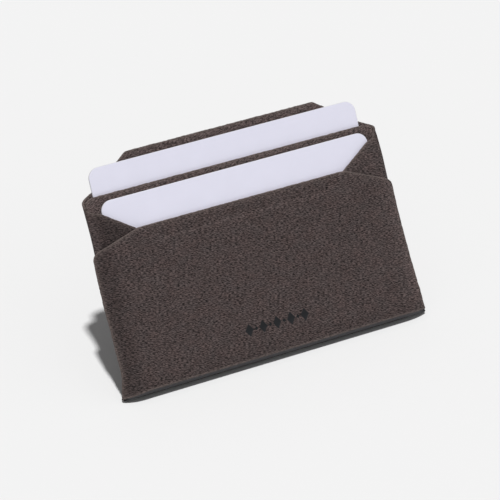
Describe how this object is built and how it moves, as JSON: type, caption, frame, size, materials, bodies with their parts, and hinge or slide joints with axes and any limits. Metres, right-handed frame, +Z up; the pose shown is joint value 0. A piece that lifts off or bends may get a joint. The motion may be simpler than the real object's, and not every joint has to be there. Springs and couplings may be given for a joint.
{
  "type": "card holder",
  "caption": "Slim suede card holder folded from one sheet, with a divider and a white card in each of its stepped pockets, leaning back.",
  "frame": {"origin": "middle of the back, 35 mm up it, where the support that the holder leans on meets it", "axes": "+X runs across the holder to its right as seen from the front, +Z is up, and the front faces -Y; the holder leans back 30 degrees towards +Y"},
  "size_m": [0.0958, 0.0381, 0.0605],
  "materials": {
    "outer_suede": "dark brown napped microsuede, raw cut edges",
    "divider_suede": "dark brown napped microsuede, raw cut edges",
    "adhesive": "dark transfer adhesive, hidden",
    "card": "plain satin white card stock"
  },
  "bodies": {
    "holder": {"back_panel": "outer_suede", "left_side_fold": "outer_suede", "right_side_fold": "outer_suede", "left_wing": "outer_suede", "right_wing": "outer_suede", "bottom_fold": "outer_suede", "front_panel": "outer_suede", "left_wing_bond": "adhesive", "right_wing_bond": "adhesive", "divider": "divider_suede", "divider_step": "divider_suede", "divider_foot": "divider_suede", "divider_foot_bond": "adhesive"},
    "front_card": {"front_card": "card"},
    "rear_card": {"rear_card": "card"}
  },
  "joints": [
    {"name": "front_card_slide", "type": "slide", "parent": "holder", "child": "front_card", "axis": [0, 0.5, 0.866], "range_m": [0, 0.051]},
    {"name": "rear_card_slide", "type": "slide", "parent": "holder", "child": "rear_card", "axis": [0, 0.5, 0.866], "range_m": [0, 0.046]}
  ]
}
